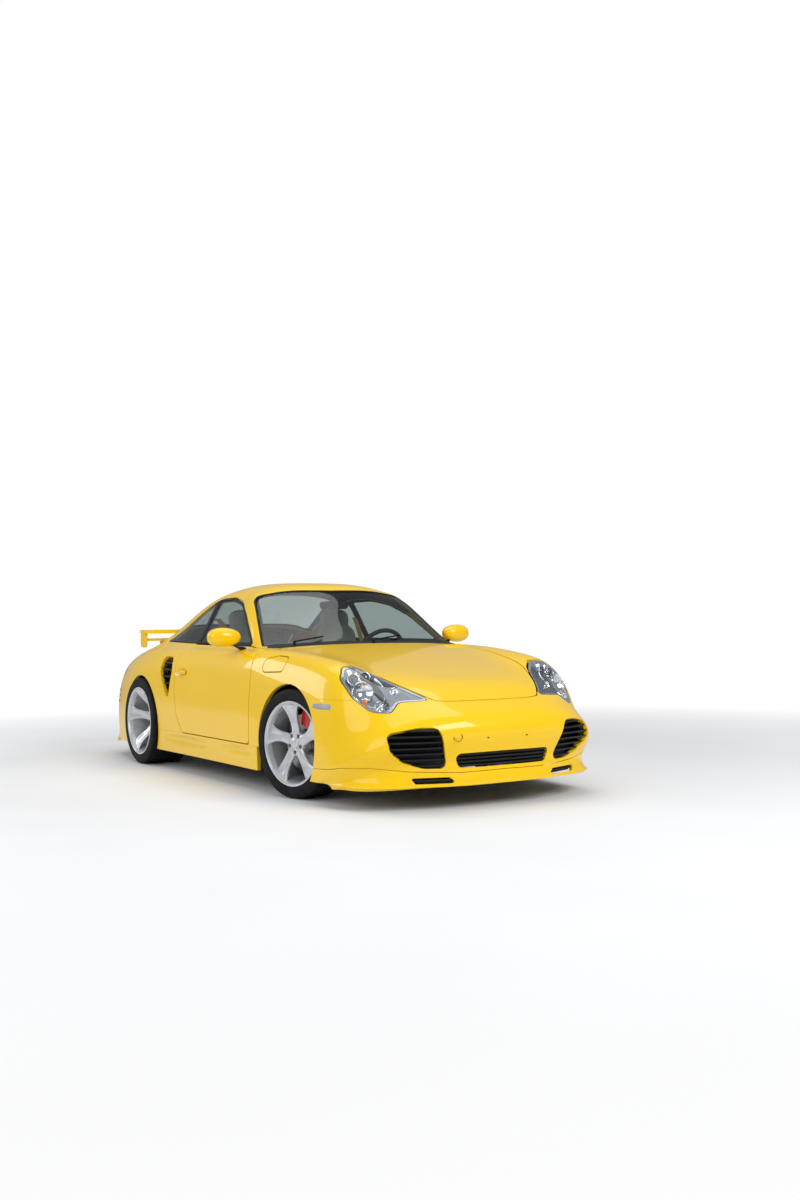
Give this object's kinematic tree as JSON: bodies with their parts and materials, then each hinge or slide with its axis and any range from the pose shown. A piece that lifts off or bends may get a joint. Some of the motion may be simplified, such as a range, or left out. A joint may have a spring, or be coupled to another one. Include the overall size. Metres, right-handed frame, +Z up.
{
  "type": "coupe car",
  "caption": "Yellow rear-engined coupe with a deep louvred front apron, side intakes, a two-level rear wing and silver spoked wheels.",
  "frame": {"origin": "centre of the car's box, on the ground under the tyres", "axes": "+X to the car's left, +Y to its rear, +Z up"},
  "size_m": [1.9892, 4.4181, 1.3045],
  "materials": {
    "body_yellow": "gloss",
    "glass": "clear",
    "black_trim": "satin",
    "underbody": "satin",
    "lamp_clear": "clear",
    "lamp_red": "clear",
    "tyre": "matte",
    "rim_silver": "satin",
    "disc_steel": "brushed",
    "caliper_red": "gloss",
    "leather_grey": "satin",
    "dash_black": "matte",
    "mech_steel": "satin",
    "exhaust_steel": "satin"
  },
  "bodies": {
    "chassis": {"arch_liners": "black_trim", "body_shell": "body_yellow", "bulkheads": "underbody", "console": "dash_black", "cowl": "black_trim", "dashboard": "dash_black", "engine": "mech_steel", "exhaust": "exhaust_steel", "floor_pan": "underbody", "front_bumper": "body_yellow", "front_grilles": "black_trim", "front_seats": "leather_grey", "front_suspension": "mech_steel", "front_tub": "underbody", "front_wings": "body_yellow", "headlamps": "lamp_clear", "inner_mirror": "black_trim", "quarter_windows": "glass", "rear_bench": "leather_grey", "rear_bumper": "body_yellow", "rear_suspension": "mech_steel", "rear_window": "glass", "side_intakes": "black_trim", "side_markers": "lamp_clear", "side_skirts": "body_yellow", "tail_lamps": "lamp_red", "windscreen": "glass", "wipers": "black_trim"},
    "steer_left": {"front_knuckle_left": "mech_steel", "front_caliper_left": "caliper_red"},
    "steer_right": {"front_knuckle_right": "mech_steel", "front_caliper_right": "caliper_red"},
    "wheel_front_left": {"tyre_front_left": "tyre", "rim_front_left": "rim_silver", "brake_disc_front_left": "disc_steel"},
    "wheel_front_right": {"tyre_front_right": "tyre", "rim_front_right": "rim_silver", "brake_disc_front_right": "disc_steel"},
    "wheel_rear_left": {"tyre_rear_left": "tyre", "rim_rear_left": "rim_silver", "brake_disc_rear_left": "disc_steel"},
    "wheel_rear_right": {"tyre_rear_right": "tyre", "rim_rear_right": "rim_silver", "brake_disc_rear_right": "disc_steel"},
    "left_door": {"door_left": "body_yellow", "door_glass_left": "glass", "mirror_left": "body_yellow"},
    "right_door": {"door_right": "body_yellow", "door_glass_right": "glass", "mirror_right": "body_yellow"},
    "bonnet_lid": {"bonnet": "body_yellow"},
    "rear_lid": {"engine_lid": "body_yellow", "rear_wing": "body_yellow"},
    "fuel_door": {"fuel_flap": "body_yellow"},
    "hand_wheel": {"steering_wheel": "dash_black"}
  },
  "joints": [
    {"name": "steer_left_joint", "type": "hinge", "parent": "chassis", "child": "steer_left", "pos_m": [0.72, -1.1965, 0.3185], "axis": [0, 0, 1], "range_deg": [-48, 24]},
    {"name": "steer_right_joint", "type": "hinge", "parent": "chassis", "child": "steer_right", "pos_m": [-0.72, -1.1965, 0.3185], "axis": [0, 0, 1], "range_deg": [-48, 24]},
    {"name": "wheel_front_left_spin", "type": "hinge", "parent": "steer_left", "child": "wheel_front_left", "pos_m": [0.73565, -1.19317, 0.3185], "axis": [0.9781, 0.2079, 0], "continuous": true},
    {"name": "wheel_front_right_spin", "type": "hinge", "parent": "steer_right", "child": "wheel_front_right", "pos_m": [-0.73565, -1.19983, 0.3185], "axis": [0.9781, 0.2079, 0], "continuous": true},
    {"name": "wheel_rear_left_spin", "type": "hinge", "parent": "chassis", "child": "wheel_rear_left", "pos_m": [0.764, 1.1535, 0.317], "axis": [1, 0, 0], "continuous": true},
    {"name": "wheel_rear_right_spin", "type": "hinge", "parent": "chassis", "child": "wheel_rear_right", "pos_m": [-0.764, 1.1535, 0.317], "axis": [1, 0, 0], "continuous": true},
    {"name": "left_door_hinge", "type": "hinge", "parent": "chassis", "child": "left_door", "pos_m": [0.882, -0.7145, 0.58], "axis": [0, 0, -1], "range_deg": [0, 62]},
    {"name": "right_door_hinge", "type": "hinge", "parent": "chassis", "child": "right_door", "pos_m": [-0.882, -0.7145, 0.58], "axis": [0, 0, 1], "range_deg": [0, 62]},
    {"name": "bonnet_hinge", "type": "hinge", "parent": "chassis", "child": "bonnet_lid", "pos_m": [0, -0.6665, 0.888], "axis": [-1, 0, 0], "range_deg": [0, 55]},
    {"name": "engine_lid_hinge", "type": "hinge", "parent": "chassis", "child": "rear_lid", "pos_m": [0, 1.3995, 1.01], "axis": [1, 0, 0], "range_deg": [0, 50]},
    {"name": "fuel_flap_hinge", "type": "hinge", "parent": "chassis", "child": "fuel_door", "pos_m": [-0.812, -1.1175, 0.775], "axis": [0.4784, 0, 0.8782], "range_deg": [0, 75]},
    {"name": "hand_wheel_joint", "type": "hinge", "parent": "chassis", "child": "hand_wheel", "pos_m": [0.37, -0.2115, 0.8], "axis": [0, 0.9135, 0.4067], "range_deg": [-768, 384]}
  ],
  "couplings": [
    {"joint": "steer_right_joint", "follows": "steer_left_joint", "ratio": 1},
    {"joint": "hand_wheel_joint", "follows": "steer_left_joint", "ratio": 16}
  ]
}
